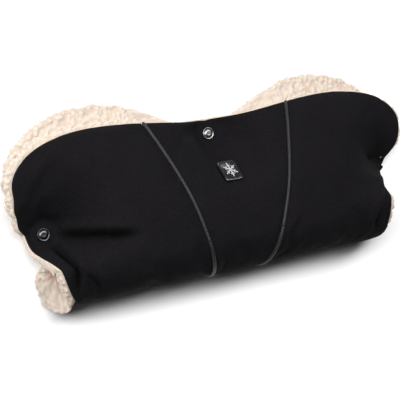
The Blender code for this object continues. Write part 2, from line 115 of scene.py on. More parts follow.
# ---- creases: a path as (x, depth along the muff), then how deep, and how wide on its steep left
# side, on its gentle right side, and how high the fabric swells beyond the steep side ----
CREASES = (
    (((-0.213, 0.0800), (-0.194, 0.0752), (-0.163, 0.0684), (-0.128, 0.0640)),
     0.0088, 0.0032, 0.010, 0.0036),
    (((-0.221, 0.0730), (-0.2165, 0.0600), (-0.2140, 0.0480), (-0.2115, 0.0350), (-0.2130, 0.0200),
      (-0.2140, 0.0040)), 0.0080, 0.0036, 0.006, 0.0030),
    (((-0.2030, 0.0360), (-0.1960, 0.0253), (-0.180, 0.0070)), 0.0030, 0.0030, 0.005, 0.0012),
    (((-0.2035, 0.0270), (-0.1985, 0.0090)), 0.0020, 0.0025, 0.005, 0.0008),
    (((0.1830, 0.0060), (0.1830, 0.0290), (0.1870, 0.0480), (0.2010, 0.0660), (0.2230, 0.0790),
      (0.2300, 0.0900)), 0.0100, 0.0045, 0.014, 0.0030),
    (((0.1980, 0.0100), (0.2020, 0.0300), (0.2090, 0.0480)), 0.0022, 0.0030, 0.006, 0.0010),
)

# ---- the right end's tuck: the wing rolls over its press stud. It leans out this far, most at
# this distance from the fifth crease, and rises this share of that ----
TUCK_CREASE = 4
TUCK_FAR = 0.021
TUCK_WIDE = 0.0085
TUCK_RISE = 0.30

# ---- pile ----
CURL = 0.0050             # spacing of the curls
CURL_H = 0.0026
FINE_CURL = 0.0024
FINE_CURL_H = 0.0009
END_CLOSE = 0.85          # the pile closes this share of the tube's ends
END_CLOSE_SPAN = 0.035    # over this length inside the end
END_REACH = 0.0065        # the roll stands out this far past the tube's ends
LIP_ROWS = 28             # rows round the pile's rolled border

# ---- grids ----
EDGE_STATIONS = (0.0003, 0.0008, 0.0015, 0.0024, 0.0036)
PILE_STATIONS = dict(wing=120, centre=52, front=96, fold=80, back=96)
SHELL_STATIONS = dict(wing=80, centre=40, front=70, fold=58, back=40)
PAD_STATIONS = dict(wing=60, centre=22, front=56, fold=44, back=40)
COARSE = dict(wing=34, centre=26, front=30, fold=24)
PATH_STEPS = 240

# ---- cloth simulation of the front's swelling ----
CLOTH_FRAMES = 20
PUFF_CAP = 0.004

# ---- badge, a patch with a raised rim ----
BADGE_S = 0.1382
BADGE_SIDE = 0.024

# ---- camera ----
CAMERA_AT = Vector((-0.6045, 0.0100, 1.2084))
CAMERA_TO = Vector((-0.0370, -0.0184, 0.0400))
CAMERA_UP = Vector((0.1634, 0.984, 0.0708))
CAMERA_LENS = 99.4

# ---- light: one wide soft box nearly overhead, a little behind the muff ----
KEY_AT = Vector((-0.10, 0.52, 1.31))
KEY_SIZE = (3.0, 0.50)
KEY_WATTS = 46.0
FILL_AT = Vector((-1.30, 0.65, 0.80))
FILL_WATTS = 14.0
WORLD_LIGHT = 0.03


def smoothstep(t):
    t = np.clip(t, 0, 1)
    return t * t * (3 - 2 * t)


# ---------------------------------------------------------------- camera, floor and light

def studio():
    """Camera, a pale floor under the muff, one wide soft light over it and a weak fill."""
    scene = bpy.context.scene
    scene.view_settings.view_transform = "Standard"
    back = (CAMERA_AT - CAMERA_TO).normalized()
    right = CAMERA_UP.cross(back).normalized()
    up = back.cross(right)
    camera = bpy.data.objects.new("camera", bpy.data.cameras.new("camera"))
    camera.data.lens = CAMERA_LENS
    camera.matrix_world = Matrix.Translation(CAMERA_AT) @ Matrix((right, up, back)).transposed().to_4x4()
    scene.collection.objects.link(camera)
    scene.camera = camera

    floor_mat, shader = new_material("studio_floor", (0.93, 0.93, 0.93), 0.9)
    shader.inputs["Specular IOR Level"].default_value = 0.1
    mesh = bpy.data.meshes.new("floor")
    reach, level = 4.0, -0.0004
    mesh.from_pydata([(-reach, -reach, level), (reach, -reach, level), (reach, reach, level),
                      (-reach, reach, level)], [], [(0, 1, 2, 3)])
    mesh.materials.append(floor_mat)
    floor = bpy.data.objects.new("floor", mesh)
    scene.collection.objects.link(floor)

    light = bpy.data.lights.new("key_light", "AREA")
    light.shape = "RECTANGLE"
    light.size, light.size_y = KEY_SIZE
    light.energy = KEY_WATTS
    fill = bpy.data.lights.new("fill_light", "AREA")
    fill.size = 0.8
    fill.energy = FILL_WATTS
    for lamp_data, at in ((light, KEY_AT), (fill, FILL_AT)):
        lamp = bpy.data.objects.new(lamp_data.name, lamp_data)
        lamp.location = at
        lamp.rotation_euler = (Vector((0, 0, 0.03)) - at).to_track_quat("-Z", "Y").to_euler()
        scene.collection.objects.link(lamp)
    world = bpy.data.worlds.new("studio")
    world.use_nodes = True
    world.node_tree.nodes["Background"].inputs["Color"].default_value = (1, 1, 1, 1)
    world.node_tree.nodes["Background"].inputs["Strength"].default_value = WORLD_LIGHT
    scene.world = world


# ---------------------------------------------------------------- the sheet's shape

def falloff(distance, flat, reach):
    """1 inside the flat radius, then a bell that fades with distance over the reach."""
    return np.exp(-(np.maximum(distance - flat, 0) / reach) ** 1.3)


def snap_distances(x, y):
    return [np.hypot(x - sx, y - sy) for sx, sy in SNAPS.values()]


def section(s):
    """Depth y from the fold's outermost line, and the height of the front and of the back:
    half a circle round the handlebar, then a large arc in front and a straight line behind."""
    angle = np.clip(np.abs(s) / TUBE_R, 0, np.pi / 2)
    past = np.maximum(np.abs(s) - QUARTER, 0)
    over = past / CROWN_R
    y = TUBE_R * (1 - np.cos(angle)) + np.where(s >= 0, CROWN_R * np.sin(over), past)
    return y, TUBE_R * (1 + np.sin(angle)) - CROWN_R * (1 - np.cos(over)), TUBE_R * (1 - np.sin(angle))


def sheet(x, s):
    """The sheet's outer face. The front droops towards its ends with the square of the
    distance, and each press stud pulls it down to a flat seat."""
    x, s = np.broadcast_arrays(np.asarray(x, float), np.asarray(s, float))
    y, top, bottom = section(s)
    reach = smoothstep((top - TUBE_R) / TUBE_R)
    top = top - WING_DROOP * (np.maximum(np.abs(x) - DROOP_FROM, 0) / DROOP_SPAN) ** 2 * reach
    clear_of_fold = smoothstep((y - TUBE_R) / 0.03)
    for distance in snap_distances(x, y):
        top = top + (SNAP_Z - top) * falloff(distance, SNAP_FLAT_R, PINCH_R) * clear_of_fold
        bottom = bottom + BACK_RECESS * smoothstep((RECESS_R - distance) / RECESS_FADE)
    return np.stack([x, y, np.where(s >= 0, top, bottom)], axis=-1)


def outward(x, s, step=1e-4):
    """Unit normal of the outer face, from the cross product of its two slopes."""
    across = sheet(x + step, s) - sheet(x - step, s)
    along = sheet(x, s + step) - sheet(x, s - step)
    normal = np.cross(across, along)
    return normal / np.linalg.norm(normal, axis=-1, keepdims=True)


def to_s(y, side):
    """Length along the sheet of a point at depth y: along the crown in front, flat behind."""
    y = np.asarray(y, float)
    if side > 0:
        return QUARTER + CROWN_R * np.arcsin((y - TUBE_R) / CROWN_R)
    return -(QUARTER + y - TUBE_R)


def near_path(x, y, path):
    """Signed distance to a path, positive on its left, and the share of its length there."""
    path = np.asarray(path)
    lengths = np.linalg.norm(np.diff(path, axis=0), axis=1)
    best = np.full(x.shape, np.inf)
    offset = np.zeros(x.shape)
    share = np.zeros(x.shape)
    run = 0
    for (ax, ay), (bx, by), length in zip(path[:-1], path[1:], lengths):
        ux, uy = (bx - ax) / length, (by - ay) / length
        t = np.clip((x - ax) * ux + (y - ay) * uy, 0, length)
        ox, oy = x - ax - t * ux, y - ay - t * uy
        distance = np.hypot(ox, oy)
        closer = distance < best
        best = np.where(closer, distance, best)
        offset = np.where(closer, np.where(ux * oy - uy * ox >= 0, distance, -distance), offset)
        share = np.where(closer, (run + t) / lengths.sum(), share)
        run += length
    return offset, share


def creased(x, s):
    """How far creases move the front's face outwards. Each is a groove with a steep and a
    gentle side, and the fabric beyond the steep side swells."""
    y = section(s)[0]
    move = np.zeros(x.shape)
    for path, depth, steep, gentle, swell in CREASES:
        offset, share = near_path(x, y, path)
        fade = smoothstep(share / 0.22) * smoothstep((1 - share) / 0.4)
        width = np.where(offset > 0, steep, gentle)
        groove = depth * np.exp(-(np.abs(offset) / width) ** 1.5)
        lip = swell * np.exp(-((offset - 2.4 * steep) / (1.7 * steep)) ** 2)
        move += (lip - groove) * fade
    return move * smoothstep(s / 0.006)


def painted_crease_shade(x, s):
    """Painted shade along the creases: 1 at the bottom of a crease to 0 beside it, where the softshell's
    colour is darkened towards near black.
    """
    y = section(s)[0]
    shade = np.zeros(x.shape)
    for path, depth, steep, gentle, _ in CREASES:
        offset, share = near_path(x, y, path)
        fade = smoothstep(share / 0.15) * smoothstep((1 - share) / 0.3)
        width = np.where(offset > 0, 0.8 * steep, 0.4 * gentle)
        shade = np.maximum(shade, depth / 0.008 * np.exp(-(offset / width) ** 2) * fade)
    return np.minimum(shade, 1) * smoothstep(s / 0.006)


def tucked(x, s):
    """How far the right wing leans out over its press stud: towards +X and up, rising with the
    distance left of the tuck's crease and dying away beyond."""
    path = CREASES[TUCK_CREASE][0]
    offset, share = near_path(x, section(s)[0], path)
    lean = np.maximum(offset, 0) / TUCK_WIDE
    far = TUCK_FAR * lean * np.exp(1 - lean)
    fade = smoothstep((share - 0.10) / 0.55) * smoothstep((1.02 - share) / 0.12)
    far = far * fade * smoothstep(s / 0.02) * (offset > 0)
    return np.stack([far, 0 * far, TUCK_RISE * far], axis=-1)


def face(x, s, depth):
    """The outer face with its creases and tuck, as far as a layer at a depth follows them."""
    crease_give, tuck_give = np.interp(depth, *CREASE_GIVE), np.interp(depth, *TUCK_GIVE)
    return (sheet(x, s) + outward(x, s) * (creased(x, s) * crease_give)[..., None]
            + tucked(x, s) * tuck_give[..., None])


def place(grid, depth, puff=0, step=5e-4):
    """Points at a depth below the outer face, along its normal. Creases and swelling reach the
    outer layers fully and the inner ones less."""
    x, s = grid[..., 0], grid[..., 1]
    across = face(x + step, s, depth) - face(x - step, s, depth)
    along = face(x, s + step, depth) - face(x, s - step, depth)
    normal = np.cross(across, along)
    normal /= np.linalg.norm(normal, axis=-1, keepdims=True)
    swell = puff * np.minimum(np.interp(depth, *CREASE_GIVE), 1)[..., None]
    return face(x, s, depth) - normal * depth[..., None] + swell + (0, FOLD_Y, 0)


def pipe_x(s):
    """Half distance between the two piped seams: a straight spread, rounded at the fold."""
    return PIPE_X + PIPE_SPREAD * (np.sqrt(s * s + PIPE_BEND ** 2) - PIPE_BEND)


def rim_x(s):
    """Half width of the tube's open end."""
    notch_s = to_s(FRONT["notch"][1], 1)
    under = np.sin(np.clip(-s / TUBE_R, 0, np.pi / 2))
    return RIM_X + RIM_FLARE * np.where(s > 0, s / notch_s, under)


def eased(t, steps):
    """Values between (t, value) steps, easing in and out of each step."""
    value = np.full(np.shape(t), steps[0][1])
    for (t0, v0), (t1, v1) in zip(steps[:-1], steps[1:]):
        value = value + (v1 - v0) * smoothstep((t - t0) / (t1 - t0))
    return value


def seam_slump(s):
    top, drawn, length = SEAM_SLUMP
    return top - drawn * np.exp(-(np.abs(s) / length) ** 3)


def slumped(grid):
    """The grid moved sideways as the muff slumps: by one amount at the piped seams and by
    another at each end, blended between them."""
    x, s = grid[..., 0], grid[..., 1]
    ends = np.where(x < 0, eased(s, LEFT_SLUMP), eased(s, RIGHT_SLUMP))
    share = smoothstep((np.abs(x) - SLUMP_FROM) / SLUMP_SPAN)
    moved = x + seam_slump(s) * (1 - share) + ends * share
    return np.stack([moved, s], axis=-1)


# ---------------------------------------------------------------- outlines and grids

def along_path(path, shares):
    """Points at the given shares of a path's length."""
    run = np.concatenate([[0], np.cumsum(np.linalg.norm(np.diff(path, axis=0), axis=1))])
    where = np.asarray(shares) * run[-1]
    return np.stack([np.interp(where, run, path[:, k]) for k in range(2)], axis=-1)


def edge_paths(shape):
    """The outline's right half in (x, s): the side up to the lobe's corner, and the top from
    the middle of the dip out to that corner."""
    (notch_x, notch_y), (lobe_x, lobe_y), (rx, ry) = shape["notch"], shape["lobe"], shape["radii"]
    turn = np.linspace(0, np.pi / 2, PATH_STEPS)
    climb = (turn / (np.pi / 2) + 1 - np.cos(turn)) / 2
    low = np.stack([notch_x + (lobe_x + rx - notch_x) * np.sin(turn),
                    notch_y + (lobe_y - notch_y) * climb], axis=-1)
    turn = np.linspace(0, CORNER, PATH_STEPS)
    high = np.stack([lobe_x + rx * np.cos(turn), lobe_y + ry * np.sin(turn)], axis=-1)
    x = np.linspace(0, lobe_x, PATH_STEPS)
    rise = (lobe_y + ry - shape["dip"]) * (1 - np.cos(np.pi * x / lobe_x)) / 2
    dip = np.stack([x, shape["dip"] + rise], axis=-1)
    turn = np.linspace(np.pi / 2, CORNER, PATH_STEPS)
    crest = np.stack([lobe_x + rx * np.cos(turn), lobe_y + ry * np.sin(turn)], axis=-1)
    start = [(float(rim_x(shape["side"] * QUARTER)), TUBE_R)]
    paths = []
    for path in (np.vstack([start, low, high[1:]]), np.vstack([dip, crest[1:]])):
        paths.append(np.stack([path[:, 0], to_s(path[:, 1], shape["side"])], axis=-1))
    return paths


def patch(bottom, top, left, right, corners, u, v):
    """Grid between four edges: the sum of the two straight blends less their corners."""
    u = np.asarray(u)[:, None, None]
    v = np.asarray(v)[None, :, None]
    across = (1 - u) * left[None] + u * right[None]
    along = (1 - v) * bottom[:, None] + v * top[:, None]
    low_left, low_right, high_left, high_right = corners
    twice = ((1 - u) * (1 - v) * low_left + u * (1 - v) * low_right
             + (1 - u) * v * high_left + u * v * high_right)
    return across + along - twice


def seam_gap(s):
    """How far a panel's edge stays off the seam's line."""
    return TUCK + (BESIDE - TUCK) * smoothstep((-s / QUARTER - 0.45) / 0.25)


def zone_grids(zone, wing_u, centre_u, v, gap=seam_gap):
    """(x, s) grids of a zone's left, centre and right panel, with s rising along the rows."""
    if zone == "fold":
        s = (2 * v - 1) * QUARTER
        inner = pipe_x(s) + gap(s)
        x = inner + wing_u[:, None] * (rim_x(s) - inner)
        wing = np.stack([x, np.broadcast_to(s, x.shape)], axis=-1)
        x = centre_u[:, None] * (pipe_x(s) - gap(s))
        centre = np.stack([x, np.broadcast_to(s, x.shape)], axis=-1)
    else:
        shape = FRONT if zone == "front" else BACK
        start = shape["side"] * QUARTER
        side_path, top = edge_paths(shape)
        seam_top = top[np.argmin(np.abs(top[:, 0] - pipe_x(top[:, 1])))]
        end_x = pipe_x(seam_top[1]) + gap(seam_top[1])
        inner_end = np.array([end_x, np.interp(end_x, top[:, 0], top[:, 1])])
        inner_s = start + v * (inner_end[1] - start)
        inner = np.stack([pipe_x(inner_s) + gap(inner_s), inner_s], axis=-1)
        inner[v == 1] = inner_end
        foot = np.array([pipe_x(start) + gap(start), start])
        base = np.stack([foot[0] + wing_u * (side_path[0, 0] - foot[0]),
                         np.full(len(wing_u), start)], axis=-1)
        crest = along_path(np.vstack([[inner_end], top[top[:, 0] > end_x]]), wing_u)
        wing = patch(base, crest, inner, along_path(side_path, v),
                     (foot, side_path[0], inner_end, side_path[-1]), wing_u, v)
        seam_s = start + v * (seam_top[1] - start)
        x = centre_u[:, None] * (pipe_x(seam_s) - gap(seam_s))[None]
        end_x = centre_u * (pipe_x(seam_top[1]) - gap(seam_top[1]))
        end_s = np.interp(np.abs(end_x), top[:, 0], top[:, 1])
        s = start + v[None] * (end_s[:, None] - start)
        centre = np.stack([x, s], axis=-1)
        if zone == "back":
            wing, centre = wing[:, ::-1], centre[:, ::-1]
    return {"left": slumped(wing[::-1] * (-1, 1)), "centre": slumped(centre), "right": slumped(wing)}


def stations(count, length, near_start, near_end, low=0.0, high=1.0):
    """Shares from low to high, with more of them beside the ends that are named."""
    even = np.linspace(low, high, count)
    extra = np.array(EDGE_STATIONS) / length
    if near_start:
        even = np.concatenate([even, low + extra])
    if near_end:
        even = np.concatenate([even, high - extra])
    even = np.sort(even)
    return even[np.concatenate([[True], np.diff(even) > 0.12 * EDGE_STATIONS[0] / length])]


def outline_of(zone):
    """The zone's outline in (x, s), without the lines where it joins its neighbours."""
    v = np.linspace(0, 1, PATH_STEPS)
    u = np.linspace(0, 1, PATH_STEPS)
    left, centre, right = zone_grids(zone, u, 2 * u - 1, v).values()
    lines = [left[0], right[-1]]
    if zone != "fold":
        row = -1 if zone == "front" else 0
        lines.append(np.concatenate([left[:, row], centre[:, row], right[:, row]]))
    return lines


def distance_to(grid, lines):
    """Distance in (x, s) from each grid point to the nearest of some lines."""
    best = np.full(grid.shape[:2], np.inf)
    for line in lines:
        for a, b in zip(line[:-1], line[1:]):
            run = b - a
            t = np.clip(((grid - a) @ run) / max(run @ run, 1e-12), 0, 1)
            best = np.minimum(best, np.linalg.norm(grid - a - t[..., None] * run, axis=-1))
    return best


# ---------------------------------------------------------------- the swelling of the front

def spline_weights(places, count):
    """Uniform cubic B-spline weights that spread `count` samples over places from 0 to
    count - 1. Samples past an end continue in a straight line."""
    cell = np.clip(np.floor(places).astype(int), 0, count - 2)
    t = places - cell
    basis = np.stack([(1 - t) ** 3, 3 * t ** 3 - 6 * t ** 2 + 4,
                      -3 * t ** 3 + 3 * t ** 2 + 3 * t + 1, t ** 3], axis=-1) / 6
    weights = np.zeros((len(places), count + 2))
    for k in range(4):
        weights[np.arange(len(places)), cell + k] += basis[:, k]
    weights[:, 1] += 2 * weights[:, 0]
    weights[:, 2] -= weights[:, 0]
    weights[:, -2] += 2 * weights[:, -1]
    weights[:, -3] -= weights[:, -1]
    return weights[:, 1:-1]


def simulate_puffs():
    """Cloth simulation of the softshell: it is a little larger than its pattern, the wadding
    presses it outwards, and its hems, seams and press studs hold it. Returns, for each panel,
    how far each point of a coarse grid over fold and front moved."""
    coarse = {}
    wing_u, centre_u = np.linspace(0, 1, COARSE["wing"]), np.linspace(-1, 1, COARSE["centre"])
    fold = zone_grids("fold", wing_u, centre_u, np.linspace(0, 1, COARSE["fold"]))
    front = zone_grids("front", wing_u, centre_u, np.linspace(0, 1, COARSE["front"]))
    for where in fold:
        coarse[where] = np.concatenate([fold[where], front[where][:, 1:]], axis=1)

    points, faces, held, first = [], [], [], 0
    for where, grid in coarse.items():
        columns, rows = grid.shape[:2]
        index = first + np.arange(columns * rows).reshape(columns, rows)
        points.append(place(grid, np.zeros(grid.shape[:2])).reshape(-1, 3))
        faces.append(np.stack([index[:-1, :-1], index[1:, :-1], index[1:, 1:], index[:-1, 1:]],
                              axis=-1).reshape(-1, 4))
        x, s = grid[..., 0], grid[..., 1]
        pinned = s < -0.5 * QUARTER
        pinned[[0, -1]] = True
        pinned[:, [0, -1]] = True
        for distance in snap_distances(x, section(s)[0]):
            pinned |= (distance < SNAP_FLAT_R) & (s > QUARTER)
        held.append(pinned.ravel())
        first += columns * rows
    points, held = np.concatenate(points), np.concatenate(held)
    mesh = bpy.data.meshes.new("puff_cloth")
    mesh.from_pydata(points.tolist(), [], np.concatenate(faces).tolist())
    cloth = bpy.data.objects.new("puff_cloth", mesh)
    bpy.context.scene.collection.objects.link(cloth)
    group = cloth.vertex_groups.new(name="held")
    group.add(np.flatnonzero(held).tolist(), 1.0, "REPLACE")
    modifier = cloth.modifiers.new("Cloth", "CLOTH")
    settings = modifier.settings
    settings.quality = 6
    settings.mass = 0.25
    settings.tension_stiffness = 12
    settings.compression_stiffness = 12
    settings.shear_stiffness = 5
    settings.bending_stiffness = 0.6
    settings.use_pressure = True
    settings.uniform_pressure_force = 4
    settings.shrink_min = -0.03
    settings.vertex_group_mass = "held"
    settings.effector_weights.gravity = 0
    modifier.point_cache.frame_start = 1
    modifier.point_cache.frame_end = CLOTH_FRAMES
    for step in range(1, CLOTH_FRAMES + 1):
        bpy.context.scene.frame_set(step)
    shaped = cloth.evaluated_get(bpy.context.evaluated_depsgraph_get()).data
    moved = np.empty(len(shaped.vertices) * 3)
    shaped.vertices.foreach_get("co", moved)
    moved = moved.reshape(-1, 3) - points
    far = np.linalg.norm(moved, axis=-1, keepdims=True)
    moved *= np.minimum(1, PUFF_CAP / np.maximum(far, 1e-9))
    bpy.data.objects.remove(cloth)
    bpy.context.scene.frame_set(1)
    puffs, first = {}, 0
    for where, grid in coarse.items():
        count = grid.shape[0] * grid.shape[1]
        puffs[where] = moved[first:first + count].reshape(grid.shape[:2] + (3,))
        first += count
    return puffs


def puff_on(zone, where, u, v, puffs):
    """The simulated swelling of one panel, spread over the stations u and v of its zone."""
    field = puffs[where]
    if zone == "back":
        return np.zeros((len(u), len(v), 3))
    if where == "centre":
        across = (u + 1) / 2
    else:
        across = u if where == "right" else 1 - u[::-1]
    cells = COARSE["fold"] - 1
    along = v * cells if zone == "fold" else cells + v * (COARSE["front"] - 1)
    columns = spline_weights(across * (field.shape[0] - 1), field.shape[0])
    rows = spline_weights(along, field.shape[1])
    return np.einsum("ia,abk,jb->ijk", columns, field, rows)


# ---------------------------------------------------------------- meshes

def new_object(name, mesh, mat):
    mesh.materials.append(mat)
    obj = bpy.data.objects.new(name, mesh)
    bpy.context.scene.collection.objects.link(obj)
    return obj


def mesh_from(name, points, faces, mat, uv=None, attributes=None, sharp=55):
    """Mesh object from whole arrays: quads, smooth except over the sharp angle, with a UV map
    in metres along the cloth and any named values on its points."""
    mesh = bpy.data.meshes.new(name)
    mesh.from_pydata(points.tolist(), [], faces.tolist())
    mesh.shade_smooth()
    mesh.set_sharp_from_angle(angle=np.radians(sharp))
    if uv is not None:
        corner = np.empty(len(mesh.loops), int)
        mesh.loops.foreach_get("vertex_index", corner)
        mesh.uv_layers.new(name="cloth").data.foreach_set("uv", uv[corner].ravel())
    for key, values in (attributes or {}).items():
        mesh.attributes.new(key, "FLOAT", "POINT").data.foreach_set("value", values.astype(np.float32))
    return new_object(name, mesh, mat)


def grid_quads(columns, rows, first=0):
    index = first + np.arange(columns * rows).reshape(columns, rows)
    return np.stack([index[:-1, :-1], index[1:, :-1], index[1:, 1:], index[:-1, 1:]], -1).reshape(-1, 4)


def ring_of(columns, rows):
    """Indices round a grid's border, anticlockwise."""
    index = np.arange(columns * rows).reshape(columns, rows)
    return np.concatenate([index[:, 0], index[-1, 1:], index[-2::-1, -1], index[0, -2:0:-1]])


def closed_slab(name, outer, inner, wall, grid, mat, attributes=None, sharp=55):
    """Closed solid between an outer and an inner grid, with any rows of wall points between
    their borders. grid is the (x, s) place of each point, for the UV map."""
    columns, rows = outer.shape[:2]
    count = columns * rows
    ring = ring_of(columns, rows)
    faces = [grid_quads(columns, rows), grid_quads(columns, rows)[:, ::-1] + count]
    rings = [ring] + [2 * count + k * len(ring) + np.arange(len(ring)) for k in range(len(wall))]
    rings.append(ring + count)
    for above, below in zip(rings[:-1], rings[1:]):
        faces.append(np.stack([above, below, np.roll(below, -1), np.roll(above, -1)], axis=-1))
    flat = grid.reshape(-1, 2)
    uv = np.concatenate([flat, flat] + [flat[ring]] * len(wall))
    points = np.concatenate([outer.reshape(-1, 3), inner.reshape(-1, 3)] + list(wall))
    return mesh_from(name, points, np.concatenate(faces), mat, uv, attributes, sharp)


def swept(name, centres, sides, ups, radii, mat, segments=16):
    """Closed round rope along a row of centres: each ring is radius times (cos side + sin up),
    and its ends shrink to small caps."""
    turn = np.linspace(0, 2 * np.pi, segments, endpoint=False)
    rings = (centres[:, None] + radii[:, None, None]
             * (np.cos(turn)[None, :, None] * sides[:, None] + np.sin(turn)[None, :, None] * ups[:, None]))
    count = len(centres)
    index = np.arange(count * segments).reshape(count, segments)
    ahead = np.roll(index, -1, axis=1)
    faces = np.stack([index[:-1], index[1:], ahead[1:], ahead[:-1]], -1).reshape(-1, 4)
    along = np.concatenate([[0], np.cumsum(np.linalg.norm(np.diff(centres, axis=0), axis=1))])
    uv = np.stack([np.broadcast_to(turn * PIPE_R, (count, segments)),
                   np.broadcast_to(along[:, None], (count, segments))], axis=-1).reshape(-1, 2)
    mesh = bpy.data.meshes.new(name)
    caps = [index[0].tolist(), index[-1, ::-1].tolist()]
    mesh.from_pydata(rings.reshape(-1, 3).tolist(), [], faces.tolist() + caps)
    mesh.shade_smooth()
    corner = np.empty(len(mesh.loops), int)
    mesh.loops.foreach_get("vertex_index", corner)
    mesh.uv_layers.new(name="cloth").data.foreach_set("uv", uv[corner].ravel())
    return new_object(name, mesh, mat)


def turned(name, profile, at, mat, segments=64):
    """Closed turned piece: a profile of (radius, height) down its outer side, carried round the
    vertical. Its first and last points lie on the axis."""
    profile = np.asarray(profile, float)
    turn = np.linspace(0, 2 * np.pi, segments, endpoint=False)
    body = profile[1:-1]
    rings = np.stack([body[:, :1] * np.cos(turn), body[:, :1] * np.sin(turn),
                      np.broadcast_to(body[:, 1:], (len(body), segments))], axis=-1)
    poles = np.array([(0, 0, profile[0, 1]), (0, 0, profile[-1, 1])])
    points = np.concatenate([rings.reshape(-1, 3), poles]) + at
    index = np.arange(len(body) * segments).reshape(len(body), segments)
    ahead = np.roll(index, -1, axis=1)
    faces = np.stack([index[:-1], index[1:], ahead[1:], ahead[:-1]], -1).reshape(-1, 4).tolist()
    top, bottom = len(body) * segments, len(body) * segments + 1
    faces += np.stack([np.full(segments, top), index[0], ahead[0]], -1).tolist()
    faces += np.stack([np.full(segments, bottom), ahead[-1], index[-1]], -1).tolist()
    mesh = bpy.data.meshes.new(name)
    mesh.from_pydata(points.tolist(), [], faces)
    mesh.shade_smooth()
    mesh.set_sharp_from_angle(angle=np.radians(50))
    return new_object(name, mesh, mat)


def lumps(points, size):
    """Curls of the pile: 1 on top of each curl to 0 between them, from the distance to the
    nearest of one random seed in each cell of a cubic lattice."""
    cell = np.floor(points / size)
    best = np.full(len(points), np.inf)
    around = np.array(np.meshgrid(*[(-1, 0, 1)] * 3)).reshape(3, -1).T
    for step in around:
        here = cell + step
        seed = np.sin(here @ np.array([(12.9898, 39.346, 73.156), (78.233, 11.135, 52.235),
                                       (37.719, 83.155, 9.151)])) * 43758.5453
        seed -= np.floor(seed)
        best = np.minimum(best, np.linalg.norm((here + seed) * size - points, axis=-1))
    return np.clip(1 - (best / (0.72 * size)) ** 2, 0, 1)


# ---------------------------------------------------------------- materials

def new_material(name, colour, roughness, metallic=0.0):
    """Material with a plain Principled shader, and that shader."""
    mat = bpy.data.materials.new(name)
    mat.use_nodes = True
    shader = mat.node_tree.nodes["Principled BSDF"]
    shader.inputs["Base Color"].default_value = (*colour, 1)
    shader.inputs["Roughness"].default_value = roughness
    shader.inputs["Metallic"].default_value = metallic
    return mat, shader


def new_group(name, inputs, outputs):
    """Shader node group with named sockets: (name, socket type, default)."""
    tree = bpy.data.node_groups.new(name, "ShaderNodeTree")
    for label, kind, value in inputs:
        socket = tree.interface.new_socket(label, in_out="INPUT", socket_type=kind)
        if value is not None:
            socket.default_value = value
    for label, kind in outputs:
        tree.interface.new_socket(label, in_out="OUTPUT", socket_type=kind)
    return tree, tree.nodes.new("NodeGroupInput"), tree.nodes.new("NodeGroupOutput")


def math_node(tree, operation, a, b=None, clamp=False):
    """Math node whose inputs are sockets or numbers."""
    node = tree.nodes.new("ShaderNodeMath")
    node.operation = operation
    node.use_clamp = clamp
    for socket, value in zip(node.inputs, (a, b)):
        if isinstance(value, (int, float)):
            socket.default_value = value
        elif value is not None:
            tree.links.new(value, socket)
    return node.outputs[0]


def noise(tree, vector, scale, detail=3.0, roughness=0.55):
    node = tree.nodes.new("ShaderNodeTexNoise")
    tree.links.new(vector, node.inputs["Vector"])
    if isinstance(scale, (int, float)):
        node.inputs["Scale"].default_value = scale
    else:
        tree.links.new(scale, node.inputs["Scale"])
    node.inputs["Detail"].default_value = detail
    node.inputs["Roughness"].default_value = roughness
    return node.outputs["Fac"]


def ranged(tree, value, low, high, to_low=0.0, to_high=1.0):
    node = tree.nodes.new("ShaderNodeMapRange")
    tree.links.new(value, node.inputs["Value"])
    for label, number in (("From Min", low), ("From Max", high), ("To Min", to_low), ("To Max", to_high)):
        node.inputs[label].default_value = number
    return node.outputs["Result"]


def mixed_colour(tree, fac, first, second):
    """Colour between two colours, each a tuple or a socket."""
    node = tree.nodes.new("ShaderNodeMix")
    node.data_type = "RGBA"
    tree.links.new(fac, node.inputs[0])
    for socket, value in ((node.inputs[6], first), (node.inputs[7], second)):
        if isinstance(value, tuple):
            socket.default_value = (*value, 1)
        else:
            tree.links.new(value, socket)
    return node.outputs[2]


def bump(tree, shader, height, strength, distance, normal=None):
    node = tree.nodes.new("ShaderNodeBump")
    node.inputs["Strength"].default_value = strength
    node.inputs["Distance"].default_value = distance
    tree.links.new(height, node.inputs["Height"])
    if normal is not None:
        tree.links.new(normal, node.inputs["Normal"])
    tree.links.new(node.outputs["Normal"], shader.inputs["Normal"])
    return node.outputs["Normal"]


def weave_group():
    """Knitted face cloth: rows of small stitches from the product of two sine waves, broken up
    by noise. Height is the relief, Tone the lighter and darker yarns."""
    tree, given, result = new_group(
        "knitted_face", [("Vector", "NodeSocketVector", None), ("Threads", "NodeSocketFloat", 1200.0)],
        [("Height", "NodeSocketFloat"), ("Tone", "NodeSocketFloat")])
    split = tree.nodes.new("ShaderNodeSeparateXYZ")
    tree.links.new(given.outputs["Vector"], split.inputs[0])
    turns = math_node(tree, "MULTIPLY", given.outputs["Threads"], 2 * np.pi)
    across = math_node(tree, "SINE", math_node(tree, "MULTIPLY", split.outputs[0], turns))
    lean = math_node(tree, "MULTIPLY", split.outputs[1], turns)
    along = math_node(tree, "SINE", math_node(tree, "ADD", lean, math_node(tree, "MULTIPLY", across, 0.9)))
    stitch = ranged(tree, math_node(tree, "MULTIPLY", across, along), -1, 1)
    fuzz = noise(tree, given.outputs["Vector"], math_node(tree, "MULTIPLY", given.outputs["Threads"], 0.8))
    tree.links.new(math_node(tree, "ADD", math_node(tree, "MULTIPLY", stitch, 0.7), fuzz),
                   result.inputs["Height"])
    yarn = noise(tree, given.outputs["Vector"], math_node(tree, "MULTIPLY", given.outputs["Threads"], 0.35),
                 detail=4.0, roughness=0.7)
    tree.links.new(ranged(tree, yarn, 0.35, 0.65), result.inputs["Tone"])
    return tree


